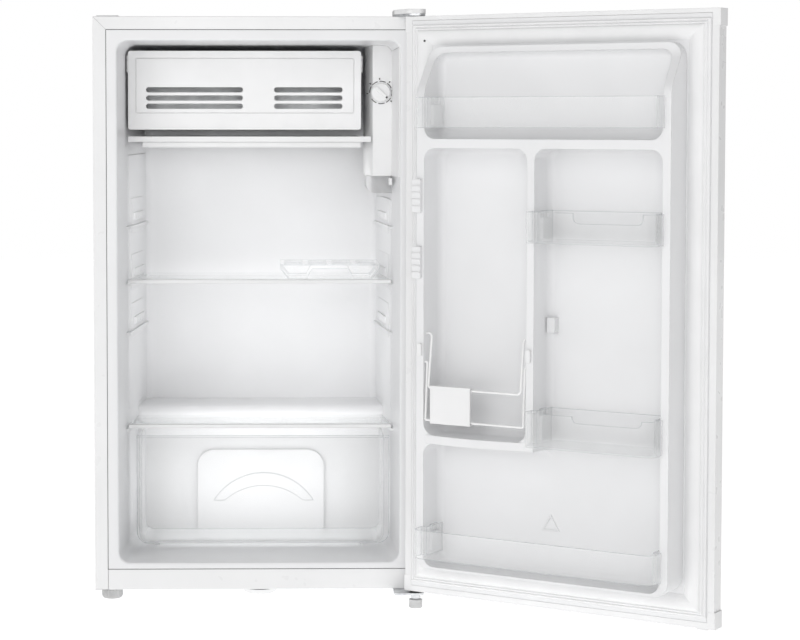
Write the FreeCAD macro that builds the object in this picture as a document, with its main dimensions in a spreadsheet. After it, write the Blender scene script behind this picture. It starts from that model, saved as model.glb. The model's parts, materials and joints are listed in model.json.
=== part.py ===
"""Mini fridge with its door open, modelled as separate pieces.

Frame: +X right, +Y into the cabinet, +Z up, millimetres. The origin is on the floor, under the middle of
the cabinet's front face. Door pieces are laid out closed, in door measures (across from the hinge side,
rise towards the food side), and swung open together.
"""
import FreeCAD, Part
import Sketcher
import math
import os
import re

DIMENSIONS = {
    # cabinet
    "half_width": 237.5, "cabinet_top": 850, "cabinet_depth": 400, "shell_bottom": 23, "sheet_metal": 1,
    "shell_lip": 19, "beam_top": 53, "beam_depth": 30, "foam_back": 385,
    # food compartment
    "opening_half": 203, "opening_low": 62.5, "opening_high": 815.7, "opening_round": 16,
    "opening_ease": 3, "back_round": 12, "hump_round": 12,
    "side_draft": 0.075, "ceiling_draft": 0.045, "floor_draft": 0.02, "cavity_depth": 300,
    "liner_wall": 2, "hump_front": 200, "hump_top": 264, "bay_front": 228, "bay_top": 236,
    "bump_half": 97, "bump_top": 198, "bump_front": 192, "bump_round": 26,
    # freezer, tray and thermostat
    "flap_left": -192.8, "flap_right": 149.3, "flap_low": 688, "flap_high": 803.5, "flap_front": 80,
    "flap_thick": 12, "pivot_height": 784, "pivot_depth": 86, "slot_height": 7.6, "slot_pitch": 12,
    "ice_left": -177, "ice_right": 146, "ice_high": 797, "ice_front": 112,
    "housing_left": 157, "housing_front": 84, "housing_low": 619.7, "knob_across": 178.5,
    "knob_height": 742.7, "knob_radius": 14.3,
    # shelves and drawer
    "shelf_front": 78, "shelf_gap": 2.5, "glass_thick": 4, "upper_shelf_top": 467, "crisper_top": 252.6,
    "drawer_left": -182, "drawer_right": 191.6, "drawer_low": 75, "drawer_high": 236, "drawer_back": 188,
    "runner_front": 118, "clear_wall": 2.2,
    # door
    "door_low": 26, "door_high": 849, "door_edge": 24, "door_bulge": 17, "seal_gap": 6, "cap_height": 23,
    "cap_proud": 1.7, "skin_lip": 11.5, "door_swing": 147, "hinge_inset": 12, "pin_radius": 4,
    "running_gap": 0.05, "seal_rise": 5.6,
    "dyke_out": 47, "dyke_rise": 50, "dyke_low": 72, "dyke_high": 805, "dyke_top_rise": 16, "rail": 12,
    "rib_left": 218.5, "rib_right": 230, "bay_floor": 3, "rack_reach": 80,
}

doc = FreeCAD.newDocument("mini_fridge")
sheet = doc.addObject("Spreadsheet::Sheet", "Sizes")
for row, (alias, size) in enumerate(DIMENSIONS.items(), 1):
    sheet.set(f"A{row}", alias)
    sheet.set(f"B{row}", str(size))
    sheet.setAlias(f"B{row}", alias)
doc.recompute()

NODES = {}
CLOSED_DOOR = []
UP = FreeCAD.Vector(0, 0, 1)


# ---------- helpers: every length is a formula in the sheet's words ----------

def formula(text):
    """A formula in the sheet's words, as FreeCAD writes it."""
    return re.sub(r"[a-z_]{3,}", lambda word: "Sizes." + word.group() if word.group() in DIMENSIONS
                  else word.group(), str(text))


def size(text):
    """The present value of a formula."""
    return float(sheet.evalExpression(formula(text)))


def bind(item, **formulas):
    for name, text in formulas.items():
        item.setExpression(name, formula(text))
    return item


def at(item, x, y, z):
    for axis, text in zip("xyz", (x, y, z)):
        item.setExpression(f"Placement.Base.{axis}", formula(text))
    return item


def box(x, y, z):
    """A box from (low, high) formulas along each axis."""
    item = doc.addObject("Part::Box", "Block")
    for name, (low, high) in zip(("Length", "Width", "Height"), (x, y, z)):
        item.setExpression(name, formula(f"({high}) - ({low})"))
    return at(item, x[0], y[0], z[0])


def rod(x, y, z, radius, length, axis="z"):
    """A cylinder that starts at (x, y, z) and runs along an axis."""
    item = doc.addObject("Part::Cylinder", "Rod")
    turn = {"x": (FreeCAD.Vector(0, 1, 0), 90), "y": (FreeCAD.Vector(1, 0, 0), -90), "z": (UP, 0)}[axis]
    item.Placement = FreeCAD.Placement(FreeCAD.Vector(), FreeCAD.Rotation(*turn))
    bind(item, Radius=radius, Height=length)
    return at(item, x, y, z)


def cut(base, *tools):
    item = doc.addObject("Part::Cut", "Cut")
    item.Base = base
    item.Tool = tools[0] if len(tools) == 1 else fuse(*tools)
    return item


def fuse(*items):
    item = doc.addObject("Part::MultiFuse", "Fusion")
    item.Shapes = list(items)
    return item


def common(*items):
    item = doc.addObject("Part::MultiCommon", "Common")
    item.Shapes = list(items)
    return item


def group(*items):
    item = doc.addObject("Part::Compound", "Group")
    item.Links = list(items)
    return item


def rounded(base, radius, pick):
    """A fillet of one radius on the edges that pick chooses."""
    doc.recompute()
    item = doc.addObject("Part::Fillet", "Rounded")
    item.Base = base
    value = size(radius)
    edges = enumerate(base.Shape.Edges, 1)
    item.Edges = [(index, value, value) for index, edge in edges if pick(edge)]
    return item


def along(axis, test=lambda centre: True):
    """Picks straight edges parallel to an axis, where test accepts their middle."""
    way = {"x": FreeCAD.Vector(1, 0, 0), "y": FreeCAD.Vector(0, 1, 0), "z": UP}[axis]

    def pick(edge):
        first, last = edge.Vertexes[0].Point, edge.Vertexes[-1].Point
        run = last - first
        return run.Length > 1e-6 and abs(run.dot(way)) > 0.999 * run.Length and test(edge.CenterOfMass)
    return pick


def sketch_in(body, plane, outline, depth="0"):
    """A closed outline of straight lines, every corner held by two dimensions."""
    sketch = body.newObject("Sketcher::SketchObject", "Outline")
    origin = next(f for f in body.Origin.OriginFeatures if f.Role == plane)
    sketch.AttachmentSupport = [(origin, "")]
    sketch.MapMode = "FlatFace"
    if depth != "0":
        sketch.setExpression("AttachmentOffset.Base.z", formula(depth))
    corners = [FreeCAD.Vector(size(a), size(b), 0) for a, b in outline]
    count = len(corners)
    for index in range(count):
        sketch.addGeometry(Part.LineSegment(corners[index], corners[(index + 1) % count]))
    for index in range(count):
        sketch.addConstraint(Sketcher.Constraint("Coincident", index, 2, (index + 1) % count, 1))
    for index, pair in enumerate(outline):
        for kind, text in zip(("DistanceX", "DistanceY"), pair):
            number = sketch.addConstraint(Sketcher.Constraint(kind, index, 1, size(text)))
            sketch.setExpression(f"Constraints[{number}]", formula(text))
    return sketch


def prism(plane, outline, start, length):
    """A body padded from an outline, from start along the plane's axis."""
    body = doc.addObject("PartDesign::Body", "Prism")
    backward = plane == "XZ_Plane"
    sketch = sketch_in(body, plane, outline, f"-({start})" if backward else start)
    pad = body.newObject("PartDesign::Pad", "Pad")
    pad.Profile = sketch
    pad.Reversed = backward
    bind(pad, Length=length)
    return body


def turned(outline, x, y, z, axis="z"):
    """A body revolved from a (radius, height) outline about an axis through (x, y, z)."""
    body = doc.addObject("PartDesign::Body", "Turned")
    sketch = sketch_in(body, "XZ_Plane", outline)
    spin = body.newObject("PartDesign::Revolution", "Revolution")
    spin.Profile = sketch
    spin.ReferenceAxis = (sketch, ["V_Axis"])
    spin.Angle = 360
    if axis == "y":
        body.Placement = FreeCAD.Placement(FreeCAD.Vector(), FreeCAD.Rotation(FreeCAD.Vector(1, 0, 0), -90))
    return at(body, x, y, z)


def tube(points, radius, bend):
    """A round tube along straight runs joined by tangent arcs."""
    path, here = [], points[0]
    for before, corner, after in zip(points, points[1:], points[2:]):
        to_before, to_after = (before - corner).normalize(), (after - corner).normalize()
        half_turn = to_before.getAngle(to_after) / 2
        back = bend / math.tan(half_turn)
        middle = (to_before + to_after).normalize()
        centre = corner + middle * (bend / math.sin(half_turn))
        start, end = corner + to_before * back, corner + to_after * back
        path.append(Part.LineSegment(here, start).toShape())
        path.append(Part.Arc(start, centre - middle * bend, end).toShape())
        here = end
    path.append(Part.LineSegment(here, points[-1]).toShape())
    ring = Part.Wire(Part.makeCircle(radius, points[0], points[1] - points[0]))
    item = doc.addObject("Part::Feature", "Tube")
    item.Shape = Part.Wire(path).makePipeShell([ring], True, True)
    return item


def node(name, item, door=False):
    """Names a finished piece; door pieces are swung open about the hinge pin."""
    item.Label = name
    NODES[name] = item
    if door:
        CLOSED_DOOR.append(item)
    return item


# ---------- cabinet ----------

def compartment(grow):
    """The food compartment's space, grown outwards on every side, above the compressor hump."""
    run = f"(cavity_depth + {grow})"
    half, back_half = f"opening_half + {grow}", f"opening_half + {grow} - side_draft * {run}"
    low, high = f"opening_low - {grow}", f"opening_high + {grow}"
    plan = prism("XY_Plane", [(f"-({half})", "0"), (half, "0"), (back_half, run), (f"-({back_half})", run)],
                 "0", "cabinet_top")
    side = prism("YZ_Plane", [("0", low), (run, f"{low} + floor_draft * {run}"),
                              (run, f"{high} - ceiling_draft * {run}"), ("0", high)],
                 "-half_width", "2 * half_width")
    room = rounded(common(plan, side), f"opening_round + {grow}", lambda edge: edge.BoundBox.YLength > 100)
    back = size(run)
    room = rounded(room, f"back_round + {grow}", lambda edge: edge.BoundBox.YMin > back - 0.01)
    hump = box(("-300", "300"), (f"hump_front + {grow}", "cabinet_depth"), ("0", f"hump_top - {grow}"))
    bump = box((f"-(bump_half - {grow})", f"bump_half - {grow}"),
               (f"bump_front + {grow}", "cabinet_depth"), ("0", f"bump_top - {grow}"))
    bump = rounded(bump, f"bump_round - {grow}", along("y", lambda centre: centre.z > 10))
    hollow = cut(room, hump, bump)
    front, top = size(f"hump_front + {grow}"), size(f"hump_top - {grow}")
    return rounded(hollow, f"hump_round - {grow}", lambda edge: edge.BoundBox.XLength > 100
                   and abs(edge.CenterOfMass.y - front) < 0.01 and abs(edge.CenterOfMass.z - top) < 0.01)


def wall_relief(side, front, back, low, high, reach, slope=4):
    """A raised strip on one side wall that follows the wall's draft, with a sloped front end."""
    sign = "" if side > 0 else "-"
    outline = [(f"{sign}(opening_half - side_draft * {front} + 0.5)", f"{front}"),
               (f"{sign}(opening_half - side_draft * {front} - {reach})", f"{front} + {slope}"),
               (f"{sign}(opening_half - side_draft * {back} - {reach})", f"{back}"),
               (f"{sign}(opening_half - side_draft * {back} + 0.5)", f"{back}")]
    return prism("XY_Plane", outline, low, f"({high}) - ({low})")


def shelf_guide(side, level):
    """A ledge under a shelf's place, a ribbed pad over it and the arched relief behind both."""
    arch = wall_relief(side, 126, 264, f"{level} - 18", f"{level} + 34", 1.8, slope=1)
    pad = wall_relief(side, 150, 250, f"{level} + 1.2", f"{level} + 12", 3.6)
    ribs = [wall_relief(side, front, front + 6, f"{level} + 1.2", f"{level} + 12", 4.4, slope=2)
            for front in range(158, 240, 18)]
    ledge = wall_relief(side, 84, 282, f"{level} - 9.8", f"{level} - 5.8", 6, slope=8)
    return [rounded(arch, "16", along("x")), pad, ledge, *ribs]


space = compartment("0")
grown_space = compartment("liner_wall")


def cabinet_case():
    inner = "half_width - sheet_metal"
    wrap = box(("-half_width", "half_width"), ("0", "cabinet_depth"), ("shell_bottom", "cabinet_top"))
    hollow = box((f"-({inner})", inner), ("sheet_metal", "cabinet_depth + 1"),
                 ("shell_bottom - 1", "cabinet_top - sheet_metal"))
    window = box(("-(half_width - shell_lip)", "half_width - shell_lip"), ("-1", "2"),
                 ("shell_bottom - 1", "cabinet_top - shell_lip"))
    node("outer_shell", cut(wrap, hollow, window))

    beam_half = "half_width - shell_lip"
    beam = box((f"-({beam_half})", beam_half), ("0", "beam_depth"), ("shell_bottom", "beam_top"))
    groove = box((f"-({beam_half}) - 1", f"{beam_half} + 1"), ("1.5", "beam_depth + 1"),
                 ("shell_bottom + 1.5", "beam_top - 1.5"))
    node("base_beam", cut(beam, groove))

    foot_x, foot_y = "-217", "57"
    pan = box((f"-({inner})", inner), ("beam_depth + 1", "cabinet_depth - 4"),
              ("shell_bottom", "shell_bottom + 2"))
    nut = rod(foot_x, foot_y, "shell_bottom - 8", "8", "9")
    screw_hole = rod(foot_x, foot_y, "0", "pin_radius + running_gap", "40")
    node("base_pan", cut(fuse(pan, nut), screw_hole))

    back = box((f"-({inner})", inner), ("foam_back", "foam_back + sheet_metal"),
               ("bay_top + 1", "cabinet_top - sheet_metal"))
    node("back_panel", back)

    wall = box((f"-({inner})", inner), ("bay_front", "bay_front + sheet_metal"),
               ("shell_bottom + 2", "bay_top"))
    roof = box((f"-({inner})", inner), ("bay_front", "foam_back + sheet_metal"),
               ("bay_top", "bay_top + sheet_metal"))
    node("compressor_bay_panel", fuse(wall, roof))

    upper = box((f"-({inner})", inner), ("2", "foam_back"), ("beam_top + 0.5", "cabinet_top - sheet_metal"))
    lower = box((f"-({inner})", inner), ("beam_depth + 1", "bay_front"),
                ("shell_bottom + 2", "beam_top + 1"))
    engine_room = box(("-300", "300"), ("bay_front", "cabinet_depth"), ("0", "bay_top + sheet_metal"))
    screw_room = rod(foot_x, foot_y, "shell_bottom", "pin_radius + 1", "12")
    node("cabinet_foam", cut(fuse(upper, lower), grown_space, engine_room, screw_room))


def food_liner():
    flange = box(("-(half_width - shell_lip - 0.2)", "half_width - shell_lip - 0.2"), ("0", "2"),
                 ("beam_top + 0.2", "cabinet_top - shell_lip - 0.2"))
    shell = rounded(cut(fuse(flange, grown_space), space), "opening_ease", lambda edge:
                    edge.BoundBox.YMax < 0.01 and max(abs(edge.CenterOfMass.x), 1) < size("opening_half + 1")
                    and size("opening_low - 1") < edge.CenterOfMass.z < size("opening_high + 1"))
    ledges = []
    for side in (-1, 1):
        panel_top = "584" if side > 0 else "650"
        ledges.append(wall_relief(side, 100, 284, "hump_top + 8", panel_top, 1.2))
        for level in (551, "upper_shelf_top", 394):
            ledges += shelf_guide(side, level)
        ledges.append(wall_relief(side, 74, 196, "crisper_top - 10", "crisper_top - 5.8", 6, slope=8))
        left = "150" if side > 0 else "-156"
        ledges.append(prism("YZ_Plane", [("runner_front", "opening_low + floor_draft * runner_front - 1"),
                                         ("drawer_back", "opening_low + floor_draft * drawer_back - 1"),
                                         ("drawer_back", "drawer_low - 0.4"),
                                         ("runner_front", "drawer_low - 0.4")], left, "6"))
    node("inner_liner", fuse(shell, *ledges))


# ---------- compressor bay and condenser ----------

def vector(*numbers):
    return FreeCAD.Vector(*numbers)


def cooling_unit():
    can = turned([("0", "45"), ("58", "45"), ("64", "52"), ("64", "150"), ("58", "168"), ("40", "178"),
                  ("0", "182")], "20", "312", "0")
    skirt = box(("-50", "90"), ("262", "362"), ("37", "46"))
    mount = rounded(skirt, "14", along("z"))
    stubs = [rod("-47", "318", "100", "4", "8", axis="x"), rod("-47", "300", "130", "4.6", "10", axis="x")]
    node("compressor", fuse(can, mount, *stubs))
    corners = [(-38, 274), (78, 274), (-38, 350), (78, 350)]
    node("compressor_grommets", group(*[
        turned([("3", "25"), ("9", "25"), ("9", "30"), ("6.5", "32"), ("9", "34"), ("9", "37"), ("3", "37")],
               x, y, "0") for x, y in corners]))
    relay = rounded(box(("84.5", "118"), ("290", "340"), ("80", "130")), "4", along("x"))
    node("start_relay", relay)
    node("filter_drier", turned([("0", "0"), ("3", "0"), ("3", "12"), ("8", "20"), ("8", "85"), ("3", "93"),
                                 ("3", "105"), ("0", "105")], "-130", "330", "60"))
    node("discharge_tube", tube([vector(-47, 318, 100), vector(-90, 318, 100), vector(-90, 372, 100),
                                 vector(-90, 372, 215), vector(-90, 391, 215), vector(-90, 391, 236)],
                                2.4, 8))
    node("suction_tube", tube([vector(-47, 300, 130), vector(-70, 300, 130), vector(-70, 300, 205),
                               vector(-70, 280, 205), vector(-70, 280, 236)], 3, 8))
    tray = box(("-30", "90"), ("255", "365"), ("196", "222"))
    node("evaporating_tray", cut(tray, box(("-28", "88"), ("257", "363"), ("198", "223"))))
    node("drain_tube", turned([("4", "212"), ("6", "212"), ("6", "236"), ("4", "236")], "50", "300", "0"))

    turns, pitch, half, rear = 12, 46, 195, 392
    points = []
    for index in range(turns):
        level = 255 + index * pitch
        ends = (-half, half) if index % 2 == 0 else (half, -half)
        points += [vector(ends[0], rear, level), vector(ends[1], rear, level)]
    node("condenser_coil", tube(points, 2.4, 14))
    node("condenser_wires", group(*[
        rod(f"{-170 + 20 * index}", f"{rear - 3.4}", "248", "0.9", "520") for index in range(18)]))
    node("cord_gland", turned([("0", "0"), ("9", "0"), ("9", "5"), ("6", "7"), ("5", "16"), ("0", "16")],
                              "170", "bay_front + sheet_metal", "60", axis="y"))


# ---------- feet and hinges ----------

PIN_X, PIN_Y = "(half_width - hinge_inset)", "(-seal_gap - hinge_inset)"


def feet():
    disc = turned([("0", "0"), ("13", "0"), ("14.35", "1.5"), ("14.35", "12"), ("13", "14"),
                   ("pin_radius", "14"), ("pin_radius", "30"), ("0", "30")], "-217", "57", "0")
    node("front_left_foot", disc)
    right = turned([("0", "0"), ("9", "0"), ("9.7", "1"), ("9.7", "12"), ("pin_radius", "13"),
                    ("pin_radius", "19.6"), ("0", "19.6")], PIN_X, PIN_Y, "0")
    node("front_right_foot", right)
    node("rear_feet", group(*[turned([("0", "0"), ("11", "0"), ("12", "1"), ("12", "18"), ("9", "23"),
                                      ("0", "23")], x, "370", "0") for x in ("-205", "205")]))


def hinge_outline(grow):
    """A hinge plate seen from above: broad on the cabinet, tapering to a tip under the pin."""
    return [(f"194 - {grow}", f"62 + {grow}"), (f"half_width - 0.5 + {grow}", f"62 + {grow}"),
            (f"half_width - 0.5 + {grow}", f"-31 - {grow}"), (f"213 - {grow}", f"-31 - {grow}"),
            (f"194 - {grow}", f"4 - {grow}")]


def hinges():
    plate = rounded(prism("XY_Plane", hinge_outline("0"), "cabinet_top", "3"), "9", along("z"))
    pin = rod(PIN_X, PIN_Y, "door_high - 13", "pin_radius", "15")
    node("top_hinge_bracket", fuse(plate, pin))
    shape = rounded(prism("XY_Plane", hinge_outline("0.4"), "cabinet_top + 3", "6.5"), "9", along("z"))
    screws = [("204", "22"), ("227", "22"), ("204", "48"), ("227", "48")]
    pockets = [rod(x, y, "cabinet_top + 2", "5.6", "4.4") for x, y in screws]
    node("top_hinge_cover", cut(shape, *pockets))
    node("top_hinge_screws", group(*[rod(x, y, "cabinet_top + 3", "5", "3") for x, y in screws]))

    foot_plate = rounded(box(("194", "half_width - 0.5"), ("-31", "24"), ("shell_bottom - 3", "shell_bottom")),
                         "6", along("z"))
    collar = rod(PIN_X, PIN_Y, "shell_bottom - 9", "7", "7")
    socket = rod(PIN_X, PIN_Y, "shell_bottom - 10", "pin_radius + running_gap", "6.8")
    low_pin = rod(PIN_X, PIN_Y, "shell_bottom - 2", "pin_radius", "17")
    node("bottom_hinge_plate", fuse(cut(fuse(foot_plate, collar), socket), low_pin))
    ring = rod(PIN_X, PIN_Y, "shell_bottom", "8.5", "2.6")
    node("bottom_hinge_washers", cut(ring, rod(PIN_X, PIN_Y, "shell_bottom - 1", "pin_radius + 0.02", "5")))
    node("bottom_hinge_screws", group(*[
        prism("XY_Plane", [(f"{x} + 6 * cos({60 * corner})", f"14 + 6 * sin({60 * corner})")
                           for corner in range(6)], "shell_bottom - 8", "5") for x in (204, 227)]))
    plug = rounded(box(("-233", "-202"), ("8", "40"), ("cabinet_top", "cabinet_top + 1.8")), "4", along("z"))
    node("spare_hinge_plug", plug)
    cup = turned([("0", "12"), ("16", "12"), ("23", "15"), ("26", "23"), ("0", "23")], "0.7", "30", "0")
    node("drain_cup", cup)


# ---------- freezer box, drip tray, thermostat ----------

def freezer():
    outer = box(("ice_left", "ice_right"), ("ice_front", "285"), ("690", "ice_high"))
    inner = box(("ice_left + 1.5", "ice_right - 1.5"), ("111", "283.5"), ("691.5", "ice_high - 1.5"))
    posts = [box((f"{x}", f"{x + 10}"), (f"{y}", f"{y + 10}"),
                 ("ice_high - 1", f"opening_high - ceiling_draft * {y + 10} - 0.1"))
             for x in (-160, 110) for y in (225, 268)]
    node("evaporator_box", fuse(cut(outer, inner), *posts))

    back = "flap_front + flap_thick"
    plate = rounded(box(("flap_left", "flap_right"), ("flap_front", back), ("flap_low", "flap_high")), "4",
                    along("y"))
    hollow = box(("flap_left + 4", "flap_right - 4"), ("flap_front + 3", f"{back} + 1"),
                 ("flap_low + 4", "flap_high - 4"))
    panel = rounded(box(("flap_left + 11", "flap_right - 10"), ("flap_front - 1", "flap_front + 0.7"),
                        ("712", "793")), "3", along("y"))
    rim = rounded(box(("flap_left + 12", "flap_right - 11"), ("flap_front - 2", "flap_front + 2"),
                      ("713", "792")), "2.5", along("y"))
    slots = []
    for left, right in (("-166.3", "-24.3"), ("21.5", "122")):
        for index in range(3):
            middle = f"722.4 + slot_pitch * {index}"
            slot = box((left, right), ("flap_front - 2", "flap_front + 5"),
                       (f"{middle} - slot_height / 2", f"{middle} + slot_height / 2"))
            slots.append(rounded(slot, "slot_height / 2 - 0.05", along("y")))
    pins = rod("flap_left - 1", "pivot_depth", "pivot_height", "2.5 + running_gap",
               "flap_right - flap_left + 2", axis="x")
    node("freezer_flap", cut(plate, hollow, cut(panel, rim), pins, *slots))

    low, high = "pivot_height - 5", "pivot_height + 5"
    arm_depth = ("ice_front - 4.5", "ice_front")
    strap = "1.7"
    sides = ((f"flap_left - {strap}", "flap_left - 0.4", "flap_left - 0.5", f"flap_left - {strap}",
              "ice_left + 1.5"),
             ("flap_right + 0.4", f"flap_right + {strap}", "flap_right - 3.8", "ice_right - 1.5",
              f"flap_right + {strap}"))
    node("flap_pivots", group(*[
        fuse(box((near, far), ("80", "ice_front"), (low, high)),
             box((near, far), ("82", "86"), ("pivot_height - 12", "pivot_height + 12")),
             box((near, far), ("79", "84"), ("pivot_height - 12", "pivot_height - 7")),
             box((near, far), ("79", "84"), ("pivot_height + 7", "pivot_height + 12")),
             box((arm_from, arm_to), arm_depth, (low, high)),
             rod(pin, "pivot_depth", "pivot_height", "2.5", "4.3", axis="x"))
        for near, far, pin, arm_from, arm_to in sides]))

    rim_front = box(("-193", "164"), ("80", "86"), ("670", "678"))
    sides = cut(box(("-180", "150"), ("85", "285"), ("670", "678")),
                box(("-170", "147"), ("88", "283"), ("669", "679")))
    basin = cut(rounded(box(("-172", "149"), ("84", "285"), ("661.6", "671")), "3", along("x")),
                box(("-170", "147"), ("86", "283"), ("663.2", "672")))
    node("drip_tray", fuse(rim_front, sides, basin))


def thermostat():
    plan = [("housing_left", "118"), ("housing_left + 9.6", "housing_front"), ("194.6", "housing_front"),
            ("201", "3"), ("206", "3"), ("206", "200"), ("housing_left", "200")]
    inside = [("housing_left + 2.5", "119"), ("housing_left + 11.6", "housing_front + 2.5"),
              ("193", "housing_front + 2.5"), ("184.5", "201"), ("housing_left + 2.5", "201")]
    blank = common(prism("XY_Plane", plan, "housing_low", "200"), space)
    hollow = prism("XY_Plane", inside, "housing_low + 2.3", "180")
    spindle_hole = rod("knob_across", "housing_front - 1", "knob_height", "3 + running_gap", "5", axis="y")
    switch_slot = box(("190.6", "192.7"), ("86.7", "97"), ("housing_low - 1", "housing_low + 3"))
    node("thermostat_housing", cut(blank, hollow, spindle_hole, switch_slot))
    node("thermostat_body", box(("168", "187"), ("housing_front + 13", "130"), ("724", "761")))
    dial = turned([("0", "-7"), ("12.6", "-7"), ("knob_radius", "-4.5"), ("knob_radius", "-0.4"), ("3", "-0.4"),
                   ("3", "10"), ("0", "10")], "knob_across", "housing_front", "knob_height", axis="y")
    node("thermostat_knob", dial)

    cover = rounded(box(("158", "200"), ("98", "172"), ("594", "housing_low")), "13",
                    along("y", lambda centre: centre.x < 170 and centre.z < 600))
    hollow = rounded(box(("159.6", "201"), ("99.6", "170.4"), ("595.6", "housing_low + 1")), "11.4",
                     along("y", lambda centre: centre.x < 170 and centre.z < 600))
    node("lamp_cover", cut(common(cover, space), hollow))
    bulb = turned([("0", "0"), ("7", "0"), ("7", "14"), ("5", "18"), ("9", "28"), ("9", "38"), ("5", "45"),
                   ("0", "46")], "176", "112", "607", axis="y")
    node("lamp_bulb", bulb)
    tab = rounded(box(("189.6", "193.7"), ("50.6", "91"), ("607", "617.4")), "1.5", along("y"))
    stem = box(("190.9", "192"), ("87", "90.6"), ("616", "626"))
    node("door_switch", fuse(tab, stem))


# ---------- shelves, drawer, egg tray ----------

def shelf(name, top, back):
    """A glass plate that follows the walls, and the trim on its front edge."""
    def half(depth):
        return f"opening_half - side_draft * ({depth}) - shelf_gap"
    glass_front = "shelf_front + 3"
    plan = [(f"-({half(glass_front)})", glass_front), (half(glass_front), glass_front),
            (half(back), back), (f"-({half(back)})", back)]
    plate = prism("XY_Plane", plan, f"{top} - 0.8 - glass_thick", "glass_thick")
    node(f"{name}_glass", plate)
    width = half("shelf_front + 10")
    bar = rounded(box((f"-({width})", width), ("shelf_front", "shelf_front + 10"), (f"{top} - 5.6", top)),
                  "1.2", along("x"))
    room = box(("-250", "250"), (glass_front, "shelf_front + 11"),
               (f"{top} - 0.8 - glass_thick", f"{top} - 0.8"))
    node(f"{name}_trim", cut(bar, room))


def crisper_drawer():
    body_left, body_right = "drawer_left + 4", "drawer_right - 8"
    shell = box((body_left, body_right), ("80", "drawer_back"), ("drawer_low", "drawer_high - 2"))
    round_low = along("y", lambda centre: centre.z < size("drawer_low + 1"))
    outer = rounded(shell, "16", round_low)
    panel = rounded(box(("drawer_left", "drawer_right"), ("79", "79 + clear_wall"),
                        ("drawer_low", "drawer_high")), "17", round_low)
    lip = box(("drawer_left", "drawer_right"), ("76.5", "80"), ("drawer_high - 3", "drawer_high"))
    hollow = rounded(box((f"{body_left} + clear_wall", f"{body_right} - clear_wall"),
                         ("79 + clear_wall", "drawer_back - clear_wall"),
                         ("drawer_low + clear_wall", "drawer_high + 1")), "13.8",
                     along("y", lambda centre: centre.z < size("drawer_low + 4")))
    arch_outer = rod("5.6", "73.5", "95", "86", "6", axis="y")
    arch_inner = rod("5.6", "72", "76", "86", "9", axis="y")
    window = box(("-68.7", "79.9"), ("70", "85"), ("140", "190"))
    hood = common(cut(arch_outer, arch_inner), window)
    node("crisper_drawer", fuse(cut(fuse(outer, panel, lip), hollow), hood))


def egg_tray():
    low, shoulder, top = "upper_shelf_top + 0.3", "upper_shelf_top + 15", "upper_shelf_top + 22"
    skirt = prism("XZ_Plane", [("42", low), ("167", low), ("178", shoulder), ("178", top), ("30", top),
                               ("30", shoulder)], "96", "106")
    hollow = prism("XZ_Plane", [("44.4", f"{low} - 1"), ("164.6", f"{low} - 1"), ("176", shoulder),
                                ("176", f"{top} - 2"), ("32", f"{top} - 2"), ("32", shoulder)], "98", "102")
    arch = prism("XZ_Plane", [("69", f"{low} - 1"), ("140", f"{low} - 1"), ("131", shoulder), ("78", shoulder)],
                 "90", "120")
    side_arch = box(("20", "190"), ("122", "176"), (f"{low} - 1", f"{shoulder} - 4"))
    pockets = [rod(f"{50 + 36 * column}", f"{122 + 52 * line}", f"{top} - 4", "14", "8")
               for column in range(4) for line in range(2)]
    node("egg_tray", cut(skirt, hollow, arch, side_arch, *pockets))


# ---------- door, in door measures ----------

def door_box(across, rise, height):
    """A box in door measures: across from the hinge side, rise towards the food, height from the floor."""
    return box((f"half_width - ({across[1]})", f"half_width - ({across[0]})"),
               (f"{rise[0]} - seal_gap", f"{rise[1]} - seal_gap"), height)


def door_slab(inset, depth_inset, height):
    """The door's bulged block, set in from its sides and front."""
    bulge = "door_edge + door_bulge"
    block = door_box((inset, f"2 * half_width - ({inset})"), (f"-({bulge})", "-2"), height)
    radius = size("(half_width ^ 2 + door_bulge ^ 2) / (2 * door_bulge)")
    drum = rod("0", f"{radius} - ({bulge}) - seal_gap", height[0], f"{radius} - ({depth_inset})",
               f"({height[1]}) - ({height[0]})")
    return common(block, drum)


def dyke(shrink):
    """The raised frame on the food side, lower at its top to pass the freezer."""
    step = [("-2", f"dyke_low + {shrink}"), (f"dyke_rise - {shrink}", f"dyke_low + {shrink}"),
            (f"dyke_rise - {shrink}", "742"), (f"dyke_top_rise - {shrink}", "792"),
            (f"dyke_top_rise - {shrink}", f"dyke_high - {shrink}"), ("-2", f"dyke_high - {shrink}")]
    outline = [(f"{rise} - seal_gap", height) for rise, height in step]
    side = prism("YZ_Plane", outline, "-250", "500")
    eased = rounded(side, "34", along("x", lambda centre: 730 < centre.z < 795))
    face = door_box((f"dyke_out + {shrink}", f"2 * half_width - dyke_out - {shrink}"), ("-3", "dyke_rise + 1"),
                    (f"dyke_low + {shrink}", f"dyke_high - {shrink}"))
    return common(eased, rounded(face, f"20 - {shrink}", along("y")))


def door_bay(left, right, low, high, grow):
    """A pocket between the rails, round at its corners and along its floor."""
    pocket = door_box((f"{left} - {grow}", f"{right} + {grow}"), (f"bay_floor - {grow}", "dyke_rise + 5"),
                      (f"{low} - {grow}", f"{high} + {grow}"))
    corners = rounded(pocket, f"16 + {grow}", along("y"))
    floor_level = size(f"bay_floor - {grow} - seal_gap")
    return rounded(corners, f"11 + {grow}", lambda edge: abs(edge.BoundBox.YMin - floor_level) < 0.01
                   and edge.BoundBox.YLength < 0.01)


INNER_LEFT, INNER_RIGHT = "(dyke_out + rail)", "(2 * half_width - dyke_out - rail)"
RACKS = {
    "top_guard_bar": (INNER_LEFT, INNER_RIGHT, 691.5, 733.5),
    "middle_rack": ("rib_right", INNER_RIGHT, 537, 579),
    "lower_rack": ("rib_right", INNER_RIGHT, 261, 308),
    "bottom_guard_bar": (INNER_LEFT, INNER_RIGHT, 92, 132),
}


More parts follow.
